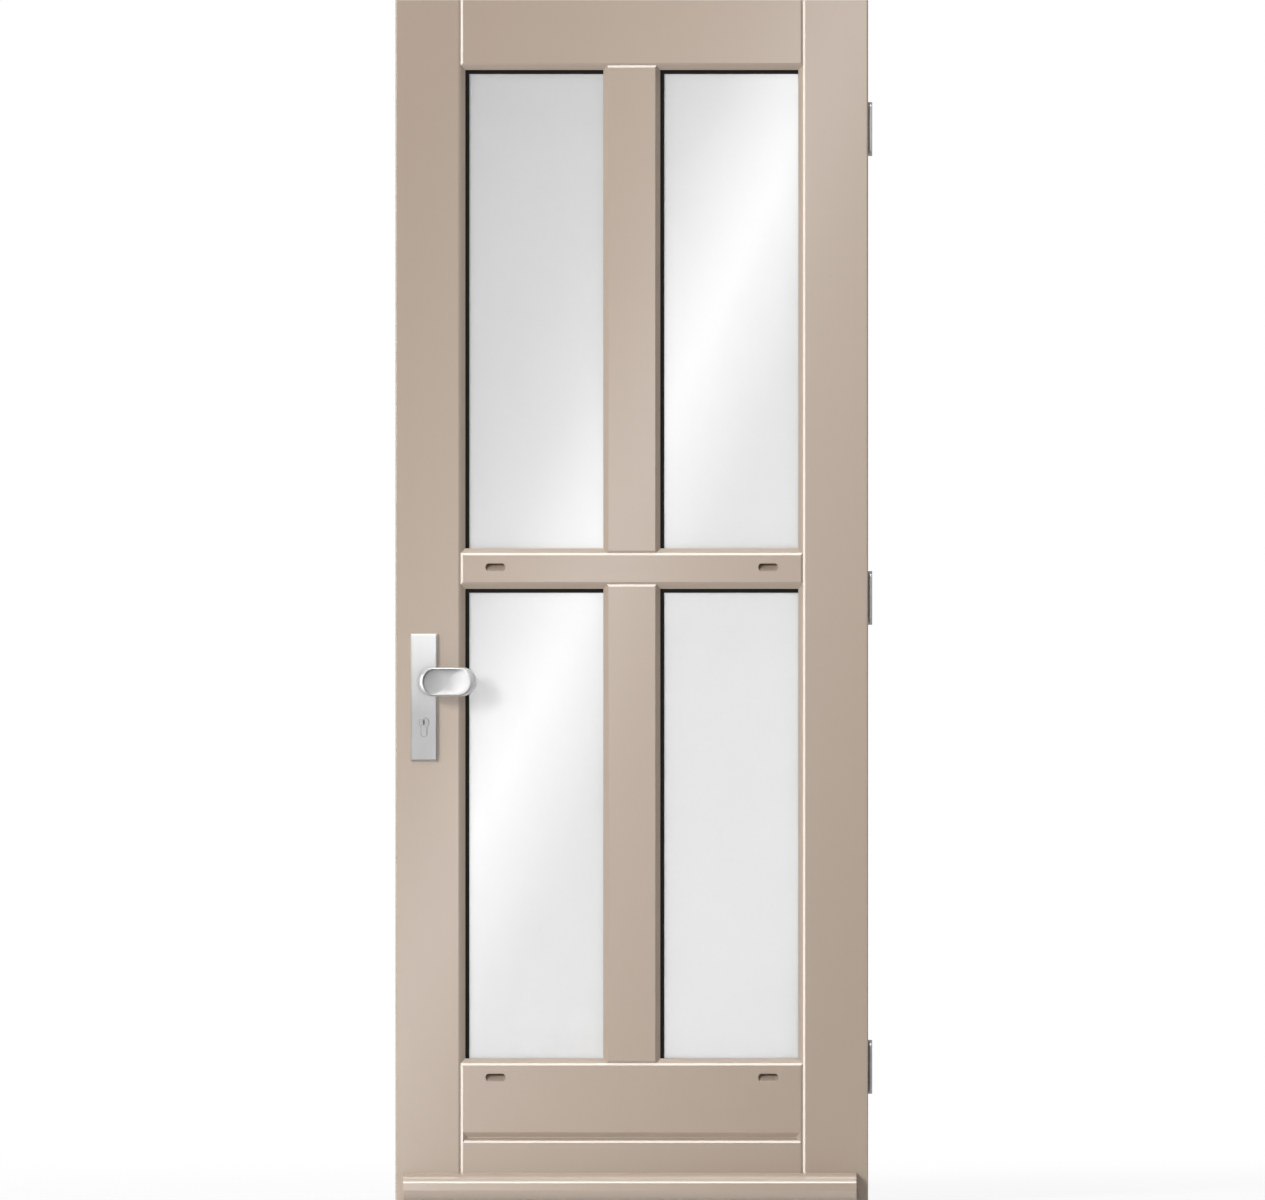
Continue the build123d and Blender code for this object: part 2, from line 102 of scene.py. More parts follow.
class ShaderTree:
    """A new material's nodes, with short calls that add and join them."""

    def __init__(self, name: str) -> None:
        """Starts from one Principled surface.

        Args:
            name: the material's name.
        """
        self.material = bpy.data.materials.new(name)
        self.material.use_nodes = True
        self.nodes = self.material.node_tree.nodes
        self.links = self.material.node_tree.links
        self.surface = self.nodes["Principled BSDF"]
        self.output = self.nodes["Material Output"]

    def add(self, kind: str, **settings: object) -> bpy.types.Node:
        """Adds a node.

        Args:
            kind: the node's type name.
            settings: attributes to set on it.

        Returns:
            The new node.
        """
        node = self.nodes.new(kind)
        for name, value in settings.items():
            setattr(node, name, value)
        return node

    def join(self, source: Socket, target: Socket) -> None:
        """Links one socket to another."""
        self.links.new(source, target)

    def set_surface(self, **values: object) -> None:
        """Sets constant sockets of the surface.

        Args:
            values: the sockets' values, each named with underscores for spaces.
        """
        for name, value in values.items():
            socket = self.surface.inputs[name.replace("_", " ")]
            socket.default_value = (*value, 1.0) if isinstance(value, tuple) else value

    def place(self, scale: Triple = (1.0, 1.0, 1.0)) -> Socket:
        """Stretches Object coordinates.

        Args:
            scale: the stretch along X, Y and Z.

        Returns:
            The stretched coordinates.
        """
        coordinates = self.add("ShaderNodeTexCoord")
        mapping = self.add("ShaderNodeMapping")
        mapping.inputs["Scale"].default_value = scale
        self.join(coordinates.outputs["Object"], mapping.inputs["Vector"])
        return mapping.outputs["Vector"]

    def noise(self, scale: Triple, detail: float = 2.0) -> Socket:
        """Adds soft noise from 0 to 1.

        Args:
            scale: how finely it repeats along X, Y and Z, per metre.
            detail: how many finer layers it has.

        Returns:
            The noise.
        """
        texture = self.add("ShaderNodeTexNoise")
        texture.inputs["Scale"].default_value = 1.0
        texture.inputs["Detail"].default_value = detail
        self.join(self.place(scale), texture.inputs["Vector"])
        return texture.outputs["Fac"]

    def even_noise(self, scale: float, detail: float = 2.0) -> Socket:
        """Soft noise that repeats as finely along every axis, per metre."""
        return self.noise((scale, scale, scale), detail)

    def ranged(
        self,
        value: Socket,
        before: Pair,
        after: Pair = (0.0, 1.0),
        **settings: object,
    ) -> Socket:
        """Maps one range of values to another and stays within it.

        Args:
            value: the value to map.
            before: its lowest and highest value.
            after: what these become.
            settings: attributes of the mapping node.

        Returns:
            The mapped value.
        """
        node = self.add("ShaderNodeMapRange", **settings)
        node.inputs["From Min"].default_value = before[0]
        node.inputs["From Max"].default_value = before[1]
        node.inputs["To Min"].default_value = after[0]
        node.inputs["To Max"].default_value = after[1]
        self.join(value, node.inputs["Value"])
        return node.outputs["Result"]

    def spread(self, noise: Socket, middle: float, spread: float) -> Socket:
        """Noise mapped to a value that strays from a middle by a spread."""
        return self.ranged(noise, NOISE_RANGE, (middle - spread, middle + spread))

    def blend(self, factor: Socket, first: Socket | Colour, second: Socket | Colour) -> Socket:
        """Mixes two colours.

        Args:
            factor: 0 for the first, 1 for the second.
            first: a colour or its socket.
            second: a colour or its socket.

        Returns:
            The mixed colour.
        """
        node = self.add("ShaderNodeMixRGB")
        self.join(factor, node.inputs["Fac"])
        for colour, socket in ((first, node.inputs["Color1"]), (second, node.inputs["Color2"])):
            if isinstance(colour, tuple):
                socket.default_value = (*colour, 1.0)
            else:
                self.join(colour, socket)
        return node.outputs["Color"]

    def shades(self, noise: Socket, colour: Colour, darker: float, lighter: float) -> Socket:
        """A colour that noise makes darker or lighter by up to these shares."""
        return self.blend(noise, tinted(colour, -darker), tinted(colour, lighter))

    def rise(self, axis: str, low: float, high: float) -> Socket:
        """Adds a factor that rises along an axis.

        Args:
            axis: X, Y or Z.
            low: where it is 0.
            high: where it is 1.

        Returns:
            The factor.
        """
        parts = self.add("ShaderNodeSeparateXYZ")
        self.join(self.place(), parts.inputs["Vector"])
        return self.ranged(parts.outputs[axis], (low, high))

    def relief(self, height: Socket, depth: float, strength: float = 1.0) -> None:
        """Turns a height from 0 to 1 into bumps of a depth on the surface.

        Args:
            height: the height's socket.
            depth: how far 1 stands above 0, in metres.
            strength: share of the bumps that shows.
        """
        bump = self.add("ShaderNodeBump")
        bump.inputs["Distance"].default_value = depth
        bump.inputs["Strength"].default_value = strength
        self.join(height, bump.inputs["Height"])
        self.join(bump.outputs["Normal"], self.surface.inputs["Normal"])


def tinted(colour: Colour, share: float) -> Colour:
    """The colour made lighter or darker by a share of itself."""
    return tuple(channel * (1.0 + share) for channel in colour)


def grey(level: float) -> Colour:
    """A plain grey of a level."""
    return (level, level, level)


@dataclass(frozen=True)
class Paint:
    """Sprayed satin paint over hardwood, with a trace of the grain under it."""

    name: str
    grain: Grain
    colour: Colour = (0.416, 0.334, 0.266)
    mottle: float = 0.012
    mottle_scale: float = 4.0
    roughness: float = 0.42
    roughness_spread: float = 0.03
    gloss: float = 0.5
    coat_roughness: float = 0.16
    coat_index: float = 1.7
    spray_scale: float = 420.0
    relief_depth: float = 0.00002

    def material(self) -> bpy.types.Material:
        """Builds the finish.

        Returns:
            The material.
        """
        tree = ShaderTree(self.name)
        grain = tree.noise(self.grain.value, detail=4.0)
        mottle = tree.even_noise(self.mottle_scale)
        spray = tree.even_noise(self.spray_scale, detail=1.0)
        colour = tree.shades(mottle, self.colour, self.mottle, self.mottle)
        tree.join(colour, tree.surface.inputs["Base Color"])
        roughness = tree.spread(grain, self.roughness, self.roughness_spread)
        tree.join(roughness, tree.surface.inputs["Roughness"])
        heights = tree.add("ShaderNodeMath", operation="ADD")
        tree.join(grain, heights.inputs[0])
        tree.join(spray, heights.inputs[1])
        tree.relief(heights.outputs["Value"], self.relief_depth)
        tree.set_surface(
            Specular_IOR_Level=self.gloss,
            Coat_Weight=1.0,
            Coat_Roughness=self.coat_roughness,
            Coat_IOR=self.coat_index,
        )
        return tree.material


@dataclass(frozen=True)
class SatinGlass:
    """Glass with a clear outer face and a milky body that hides what stands behind it."""

    name: str = "satin_glass"
    colour: Colour = grey(0.94)
    mottle: float = 0.01
    mottle_scale: float = 6.0
    transmission: float = 0.55
    index: float = 1.5
    roughness: float = 0.22
    roughness_spread: float = 0.03
    frost_scale: float = 900.0
    coat_roughness: float = 0.03
    coat_index: float = 2.1

    def material(self) -> bpy.types.Material:
        """Builds the finish.

        Returns:
            The material.
        """
        tree = ShaderTree(self.name)
        mottle = tree.even_noise(self.mottle_scale)
        colour = tree.shades(mottle, self.colour, self.mottle, self.mottle)
        tree.join(colour, tree.surface.inputs["Base Color"])
        frost = tree.even_noise(self.frost_scale)
        roughness = tree.spread(frost, self.roughness, self.roughness_spread)
        tree.join(roughness, tree.surface.inputs["Roughness"])
        tree.set_surface(
            Transmission_Weight=self.transmission,
            IOR=self.index,
            Coat_Weight=1.0,
            Coat_Roughness=self.coat_roughness,
            Coat_IOR=self.coat_index,
        )
        return tree.material


@dataclass(frozen=True)
class Rubber:
    """Black glazing rubber. Its lips show only along the left and top of each pane, where they also stand
    in for the shadow there: partly real rubber, partly painted shade.
    """

    name: str = "glazing_rubber"
    colour: Colour = (0.008, 0.008, 0.007)
    darker: float = 0.2
    lighter: float = 0.4
    grain_scale: float = 700.0
    roughness: float = 0.575
    roughness_spread: float = 0.075
    relief_depth: float = 0.00005
    gloss: float = 0.12

    def material(self) -> bpy.types.Material:
        """Builds the finish.

        Returns:
            The material.
        """
        tree = ShaderTree(self.name)
        grain = tree.even_noise(self.grain_scale)
        colour = tree.shades(grain, self.colour, self.darker, self.lighter)
        tree.join(colour, tree.surface.inputs["Base Color"])
        roughness = tree.spread(grain, self.roughness, self.roughness_spread)
        tree.join(roughness, tree.surface.inputs["Roughness"])
        tree.relief(grain, self.relief_depth)
        tree.set_surface(Specular_IOR_Level=self.gloss)
        return tree.material


@dataclass(frozen=True)
class BrushedMetal:
    """Metal with fine scratches along one direction, and a painted highlight: paler along one axis where
    it has a painted sheen.
    """

    name: str
    colour: Colour
    brushing: Brushing
    roughness: float = 0.3
    roughness_spread: float = 0.05
    handling_scale: float = 25.0
    scratch_darker: float = 0.04
    scratch_lighter: float = 0.03
    relief_depth: float = 0.000012
    metallic: float = 1.0
    # Painted highlight: the share by which the colour is painted paler along one axis, standing in for
    # light falling there
    painted_sheen: float = 0.0
    # Roughness added along the same rise, a real change of finish
    rise_roughness: float = 0.0
    sheen_axis: str = "Z"
    sheen_from: float = 0.0
    sheen_to: float = 1.0

    def material(self) -> bpy.types.Material:
        """Builds the finish.

        Returns:
            The material.
        """
        tree = ShaderTree(self.name)
        scratches = tree.noise(self.brushing.value, detail=3.0)
        handling = tree.even_noise(self.handling_scale)
        # Painted highlight: the colour and a paler copy of it, blended along one axis to stand in for
        # light falling there
        dark, pale = (
            tree.shades(scratches, colour, self.scratch_darker, self.scratch_lighter)
            for colour in (self.colour, tinted(self.colour, self.painted_sheen))
        )
        rise = tree.rise(self.sheen_axis, self.sheen_from, self.sheen_to)
        tree.join(tree.blend(rise, dark, pale), tree.surface.inputs["Base Color"])
        roughness = tree.add("ShaderNodeMath", operation="MULTIPLY_ADD")
        tree.join(rise, roughness.inputs[0])
        roughness.inputs[1].default_value = self.rise_roughness
        tree.join(tree.spread(handling, self.roughness, self.roughness_spread), roughness.inputs[2])
        tree.join(roughness.outputs["Value"], tree.surface.inputs["Roughness"])
        tree.relief(scratches, self.relief_depth)
        tree.set_surface(Metallic=self.metallic)
        return tree.material


def dress(node: str, material: bpy.types.Material) -> None:
    """Gives a solid its finish.

    Args:
        node: the solid's name.
        material: the finish.
    """
    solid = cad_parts[node]
    if not solid.material_slots:
        solid.data.materials.append(material)
    for slot in solid.material_slots:
        slot.material = material
    LOG.info("solid %s dressed in %s", node, material.name)


def deselect_all() -> None:
    """Leaves nothing selected, so that an operator acts on the next piece alone."""
    bpy.ops.object.select_all(action="DESELECT")


@contextmanager
def editing(piece: bpy.types.Object) -> Iterator[None]:
    """Keeps a piece in edit mode for a while.

    Args:
        piece: the piece.
    """
    bpy.context.view_layer.objects.active = piece
    bpy.ops.object.mode_set(mode="EDIT")
    try:
        yield
    finally:
        bpy.ops.object.mode_set(mode="OBJECT")


def named(name: str) -> bpy.types.Object:
    """Takes the primitive just added as a piece, its place applied to its mesh.

    Args:
        name: the piece's name.

    Returns:
        The piece.
    """
    piece = bpy.context.active_object
    piece.name = name
    piece.data.name = name
    bpy.ops.object.transform_apply(location=True, rotation=True, scale=True)
    return piece


@contextmanager
def picking(piece: bpy.types.Object, kind: str) -> Iterator[bmesh.types.BMesh]:
    """Starts a new selection on a piece in edit mode and keeps what is picked.

    Args:
        piece: the piece.
        kind: what is picked, VERT, EDGE or FACE.

    Yields:
        The piece's mesh.
    """
    bpy.ops.mesh.select_mode(type=kind)
    bpy.ops.mesh.select_all(action="DESELECT")
    mesh = bmesh.from_edit_mesh(piece.data)
    yield mesh
    mesh.select_flush_mode()
    bmesh.update_edit_mesh(piece.data)


def pick_vertices(piece: bpy.types.Object, test: Callable[[Vector], bool]) -> None:
    """Selects the vertices of a piece in edit mode that pass a test.

    Args:
        piece: the piece.
        test: the test of a vertex's place.
    """
    with picking(piece, "VERT") as mesh:
        for vertex in mesh.verts:
            vertex.select = test(vertex.co)


def pick_edges(piece: bpy.types.Object, test: Callable[[Vector], bool]) -> None:
    """Selects the edges of a piece in edit mode whose both ends pass a test.

    Args:
        piece: the piece.
        test: the test of an end's place.
    """
    with picking(piece, "EDGE") as mesh:
        for edge in mesh.edges:
            edge.select = all(test(vertex.co) for vertex in edge.verts)


def pick_faces(piece: bpy.types.Object, test: Callable[[Vector, Vector], bool]) -> None:
    """Selects the faces of a piece in edit mode that pass a test.

    Args:
        piece: the piece.
        test: the test of a face's middle and normal.
    """
    with picking(piece, "FACE") as mesh:
        for face in mesh.faces:
            face.select = test(face.calc_center_median(), face.normal)


def joined(first: bpy.types.Object, *others: bpy.types.Object) -> bpy.types.Object:
    """Joins pieces into the first one.

    Args:
        first: the piece that stays.
        others: the pieces that become part of it.

    Returns:
        The first piece.
    """
    deselect_all()
    for piece in (first, *others):
        piece.select_set(True)
    bpy.context.view_layer.objects.active = first
    if others:
        bpy.ops.object.join()
    return first


def finished(piece: bpy.types.Object, angle: float, levels: int = 0) -> bpy.types.Object:
    """Closes a modelled piece: merged, turned outwards, subdivided and smoothed.

    Args:
        piece: the modelled piece.
        angle: faces that meet at less than this many degrees are shaded as one.
        levels: how often the piece is subdivided.

    Returns:
        The same piece.
    """
    deselect_all()
    piece.select_set(True)
    with editing(piece):
        bpy.ops.mesh.select_all(action="SELECT")
        bpy.ops.mesh.remove_doubles(threshold=TOUCH)
        bpy.ops.mesh.normals_make_consistent(inside=False)
    if levels:
        modifier = piece.modifiers.new("subdivision", "SUBSURF")
        modifier.levels = levels
        modifier.render_levels = levels
        bpy.ops.object.modifier_apply(modifier=modifier.name)
    bpy.ops.object.shade_smooth_by_angle(angle=math.radians(angle))
    return piece


def fitted(piece: bpy.types.Object, body: str, material: bpy.types.Material) -> None:
    """Dresses a finished piece and fixes it to the body that carries it.

    Args:
        piece: the finished piece.
        body: the body it moves with.
        material: its finish.
    """
    piece.data.materials.clear()
    piece.data.materials.append(material)
    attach(piece, body)
    LOG.info("piece %s on %s in %s", piece.name, body, material.name)


@dataclass
class Joinery:
    """The painted timber: stiles, rails, muntins, glazing beads and weatherboard."""

    uprights: tuple[str, ...] = ("lock_stile", "hinge_stile", "upper_muntin", "lower_muntin")
    across: tuple[str, ...] = ("top_rail", "middle_rail", "bottom_rail")
    # Share by which the weatherboard's paint is painted lighter, painted light on the board
    board_painted_light: float = 0.08
    board_coat_index: float = 2.1

    def build(self) -> None:
        """Paints each member along its own grain."""
        upright_paint = Paint("paint_upright", Grain.UPRIGHT).material()
        across_paint = Paint("paint_across", Grain.ACROSS).material()
        # The weatherboard is painted lighter than the other members, painted light standing in for the
        # light it catches; its glossier coat is real gloss
        board_paint = Paint(
            "paint_weatherboard",
            Grain.ACROSS,
            tinted(Paint.colour, self.board_painted_light),
            coat_index=self.board_coat_index,
        ).material()
        dress("weatherboard", board_paint)
        for node in self.uprights:
            dress(node, upright_paint)
        for node in self.across:
            dress(node, across_paint)
        for pane in PANES:
            dress(f"{pane}_beads", upright_paint)


@dataclass
class Glazing:
    """The four double-glazed panes with their spacers and seals."""

    spacer_metal: BrushedMetal = BrushedMetal(
        "spacer_aluminium",
        grey(0.55),
        Brushing.UPRIGHT,
        roughness=0.4,
    )

    def build(self) -> None:
        """Dresses every pane."""
        glass = SatinGlass().material()
        rubber = Rubber().material()
        spacer = self.spacer_metal.material()
        for pane in PANES:
            dress(f"{pane}_glass", glass)
            # The black seals show along the left and top of each pane only: a real glazing rubber, and
            # also painted shade standing in for the shadow there
            dress(f"{pane}_seals", rubber)
            dress(f"{pane}_spacer", spacer)


@dataclass
class Screw:
    """A sunk screw's head with a six-lobed recess, modelled once and copied."""

    head_radius: float = 0.0046
    head_height: float = 0.0012
    stand: float = 0.0003
    rim: float = 0.0003
    recess_radius: float = 0.0024
    recess_depth: float = 0.0009
    recess_reach: float = 1.05
    centre_reach: float = 0.0002
    lobes: int = 6
    lobe_pulls: tuple[Pair, ...] = ((0.5, 0.72), (0.25, 0.88), (0.75, 0.88))
    lobe_slack: float = 0.01
    sides: int = 24

    def pattern(self) -> bpy.types.Object:
        """Models the head round the Z axis, its seat at height 0.

        Returns:
            The pattern piece, to be copied and then removed.
        """
        deselect_all()
        bpy.ops.mesh.primitive_cylinder_add(
            vertices=self.sides,
            radius=self.head_radius,
            depth=self.head_height,
            location=(0.0, 0.0, self.stand - self.head_height / 2),
        )
        screw = named("screw_pattern")
        top = self.stand
        with editing(screw):
            pick_edges(screw, lambda place: place.z > top - TOUCH)
            bpy.ops.mesh.bevel(offset=self.rim, segments=2)
            pick_faces(screw, lambda middle, normal: normal.z > SQUARE)
            bpy.ops.mesh.inset(thickness=self.head_radius - self.rim - self.recess_radius)
            for share, pull in self.lobe_pulls:
                pick_vertices(screw, self.in_recess(share))
                bpy.ops.transform.resize(value=(pull, pull, 1.0), center_override=(0.0, 0.0, top))
            pick_faces(
                screw,
                lambda middle, normal: normal.z > SQUARE and middle.to_2d().length < self.centre_reach,
            )
            bpy.ops.mesh.extrude_region_move(
                TRANSFORM_OT_translate={"value": (0.0, 0.0, -self.recess_depth)}
            )
        return finished(screw, angle=30.0)

    def in_recess(self, share: float) -> Callable[[Vector], bool]:
        """Makes a test for the recess's rim vertices at one share of each lobe.

        Args:
            share: how far round the lobe they lie, from 0 to 1.

        Returns:
            The test of a vertex's place.
        """
        lobe = 2 * math.pi / self.lobes
        reach = self.recess_radius * self.recess_reach

        def test(place: Vector) -> bool:
            """Tests a vertex.

            Args:
                place: where it lies.

            Returns:
                True for a rim vertex at that share of a lobe.
            """
            if place.z < self.stand - TOUCH or place.to_2d().length > reach:
                return False
            offset = (math.atan2(place.y, place.x) - share * lobe) % lobe
            return min(offset, lobe - offset) < self.lobe_slack

        return test

    def copies(
        self,
        pattern: bpy.types.Object,
        name: str,
        places: list[Vector],
        facing: Vector,
    ) -> bpy.types.Object:
        """Copies the pattern to several seats and joins the copies.

        Args:
            pattern: the modelled head.
            name: the name of the joined piece.
            places: the seats' middles.
            facing: the direction the heads look.

        Returns:
            The joined piece.
        """
        heads = []
        for place in places:
            head = pattern.copy()
            head.data = pattern.data.copy()
            bpy.context.scene.collection.objects.link(head)
            head.rotation_mode = "QUATERNION"
            head.rotation_quaternion = Vector((0.0, 0.0, 1.0)).rotation_difference(facing)
            head.location = place
            heads.append(head)
        screws = joined(heads[0], *heads[1:])
        screws.name = name
        screws.data.name = name
        bpy.ops.object.transform_apply(location=True, rotation=True, scale=True)
        return screws


@dataclass
class Knob:
    """The fixed outside knob: an oval grip on a turned neck, set towards the hinges."""

    neck: float = 0.026
    swell: float = 0.009
    crown: float = 0.013
    rim: float = 0.915
    face_drop: float = 0.0012
    face_length: float = 0.081
    face_width: float = 0.0456
    face_edge: float = 0.0012
    back_length: float = 0.0956
    back_width: float = 0.0426
    back_edge: float = 0.002
    neck_radius: float = 0.0085
    neck_sunk: float = 0.002
    neck_sides: int = 32
    foot_radius: float = 0.011
    foot_steps: tuple[Pair, ...] = ((0.001, 1.0), (0.003, 0.93), (0.006, 0.84))
    foot_height: float = 0.010
    backset: float = 0.050
    sides: int = 46
    # Share of the rise, of the length and of the width at each step of the grip
    flank_steps: tuple[Triple, ...] = (
        (0.25, 0.988, 0.995),
        (0.50, 0.955, 0.982),
        (0.72, 0.905, 0.960),
        (0.86, 0.850, 0.932),
    )
    dome_steps: tuple[Triple, ...] = ((0.960, 0.72, 0.86), (0.988, 0.42, 0.66), (1.00, 0.16, 0.40))
    back_steps: tuple[Triple, ...] = ((0.45, 0.985, 0.970), (0.85, 0.950, 0.900))

    def build(self, material: bpy.types.Material) -> None:
        """Models the knob and lets it stand for its solid.

        Args:
            material: its finish.
        """
        low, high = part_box("outside_knob")
        middle = (low + high) / 2
        grip = self.grip(middle.x, high.y - self.neck, middle.z, high.x - low.x, high.z - low.z)
        axis_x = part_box("lock_stile")[0].x + self.backset
        neck = self.turned_neck(axis_x, high.y, middle.z)
        knob = joined(grip, neck)
        knob.name = "oval_knob"
        fitted(knob, DOOR, material)
        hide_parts("outside_knob")

    def grip(self, x: float, back: float, z: float, length: float, width: float) -> bpy.types.Object:
        """Models the grip from its widest outline, forwards to its face and backwards to its back.

        Args:
            x: middle of the grip across the door.
            back: depth of the grip's back.
            z: height of the grip's middle.
            length: its overall length.
            width: its overall width.

        Returns:
            The grip.
        """
        widest = back - self.swell
        deselect_all()
        bpy.ops.mesh.primitive_circle_add(
            vertices=self.sides,
            radius=width / 2,
            fill_type="NGON",
            location=(x, widest, z),
            rotation=(math.radians(90), math.pi / self.sides, 0.0),
        )
        grip = named("grip")
        stretch = (length - width) / 2
        long_face, wide_face = self.face_length / length, self.face_width / width
        dome = [(share, long * long_face, wide * wide_face) for share, long, wide in self.dome_steps]
        forwards = (*self.flank_steps, (self.rim, long_face, wide_face), *dome)
        backwards = (*self.back_steps, (1.00, self.back_length / length, self.back_width / width))
        before_rim = widest - (self.flank_steps[-1][0] + self.rim) / 2 * self.crown
        with editing(grip):
            for side in (-1, 1):
                pick_vertices(grip, lambda place: (place.x - x) * side > 0.0)
                bpy.ops.transform.translate(value=(side * stretch, 0.0, 0.0))
            self.raise_steps(grip, Vector((x, widest, z)), -self.crown, forwards)
            pick_vertices(grip, lambda place: place.y < before_rim)
            bpy.ops.transform.translate(value=(0.0, 0.0, -self.face_drop))
            self.raise_steps(grip, Vector((x, widest, z)), self.swell, backwards)
            for edge, offset in ((widest - self.rim * self.crown, self.face_edge), (back, self.back_edge)):
                pick_edges(grip, lambda place: abs(place.y - edge) < TOUCH)
                bpy.ops.mesh.bevel(offset=offset, segments=2)
        return finished(grip, angle=60.0, levels=2)

    def raise_steps(
        self,
        piece: bpy.types.Object,
        middle: Vector,
        rise: float,
        steps: tuple[Triple, ...],
    ) -> None:
        """Extrudes one side of an outline in steps, each scaled to its own size.

        Args:
            piece: the piece, in edit mode.
            middle: middle of the outline.
            rise: how far the last step lies from the outline along Y.
            steps: share of the rise, of the length and of the width at each step.
        """
        way = math.copysign(1.0, rise)
        reached, long_share, wide_share = 0.0, 1.0, 1.0
        pick_faces(piece, lambda place, normal: normal.y * way > SQUARE)
        for share, long_next, wide_next in steps:
            move = (0.0, (share - reached) * rise, 0.0)
            bpy.ops.mesh.extrude_region_move(TRANSFORM_OT_translate={"value": move})
            bpy.ops.transform.resize(
                value=(long_next / long_share, 1.0, wide_next / wide_share),
                center_override=(middle.x, middle.y + share * rise, middle.z),
            )
            reached, long_share, wide_share = share, long_next, wide_next

    def turned_neck(self, x: float, plate: float, z: float) -> bpy.types.Object:
        """Models the neck from its flared foot on the plate into the grip's back.

        Args:
            x: the lock's axis across the door.
            plate: depth of the plate's face.
            z: the lock's axis in height.

        Returns:
            The neck.
        """
        deselect_all()
        bpy.ops.mesh.primitive_circle_add(
            vertices=self.neck_sides,
            radius=self.foot_radius,
            fill_type="NGON",
            location=(x, plate, z),
            rotation=(math.radians(90), 0.0, 0.0),
        )
        neck = named("neck")
        slim = self.neck_radius / self.foot_radius
        reach = self.neck + self.neck_sunk
        steps = (*self.foot_steps, (self.foot_height, slim), (reach, slim))
        with editing(neck):
            self.raise_steps(
                neck,
                Vector((x, plate, z)),
                -reach,
                tuple((out / reach, share, share) for out, share in steps),
            )
        return finished(neck, angle=60.0)


@dataclass
class Lever:
    """The inside lever: a round bar mitred at its corner, on a rose."""

    bar_radius: float = 0.0095
    rose_radius: float = 0.015
    rose_thickness: float = 0.005
    rose_edge: float = 0.001
    end_edge: float = 0.0015
    sides: int = 48

    def build(self, material: bpy.types.Material) -> None:
        """Models the lever and lets it stand for its solid.

        Args:
            material: its finish.
        """
        low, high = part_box("inside_lever")
        axis = Vector((low.x + self.rose_radius, low.y, (low.z + high.z) / 2))
        corner = Vector((axis.x, high.y - self.bar_radius, axis.z))
        post_end = corner + Vector((0.0, self.bar_radius, 0.0))
        grip_start = corner - Vector((self.bar_radius, 0.0, 0.0))
        grip_end = Vector((high.x, corner.y, corner.z))
        post = self.bar("post", axis, post_end)
        grip = self.bar("grip_bar", grip_start, grip_end)
        for piece, keep_inner in ((post, True), (grip, False)):
            with editing(piece):
                bpy.ops.mesh.select_all(action="SELECT")
                bpy.ops.mesh.bisect(
                    plane_co=corner,
                    plane_no=(1.0, 1.0, 0.0),
                    clear_outer=keep_inner,
                    clear_inner=not keep_inner,
                )
        with editing(grip):
            pick_edges(grip, lambda place: place.x > high.x - TOUCH)
            bpy.ops.mesh.bevel(offset=self.end_edge, segments=4)
        lever = joined(post, grip, self.rose(axis))
        lever.name = "lever_handle"
        finished(lever, angle=40.0)
        fitted(lever, DOOR, material)
        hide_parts("inside_lever")

    def bar(self, name: str, start: Vector, end: Vector) -> bpy.types.Object:
        """Adds a round bar between two points.

        Args:
            name: the bar's name.
            start: middle of one end.
            end: middle of the other end.

        Returns:
            The bar.
        """
        along = end - start
        deselect_all()
        bpy.ops.mesh.primitive_cylinder_add(
            vertices=self.sides,
            radius=self.bar_radius,
            depth=along.length,
            location=(start + end) / 2,
            rotation=along.to_track_quat("Z", "Y").to_euler(),
        )
        return named(name)

    def rose(self, axis: Vector) -> bpy.types.Object:
        """Models the round rose with a softened rim.

        Args:
            axis: where the bar's axis meets the plate.

        Returns:
            The rose.
        """
        rose_front = axis + Vector((0.0, self.rose_thickness, 0.0))
        deselect_all()
        bpy.ops.mesh.primitive_cylinder_add(
            vertices=self.sides,
            radius=self.rose_radius,
            depth=self.rose_thickness,
            location=(axis + rose_front) / 2,
            rotation=(math.radians(90), 0.0, 0.0),
        )
        rose = named("rose")
        with editing(rose):
            pick_edges(rose, lambda place: place.y > rose_front.y - TOUCH)
            bpy.ops.mesh.bevel(offset=self.rose_edge, segments=3)
        return rose


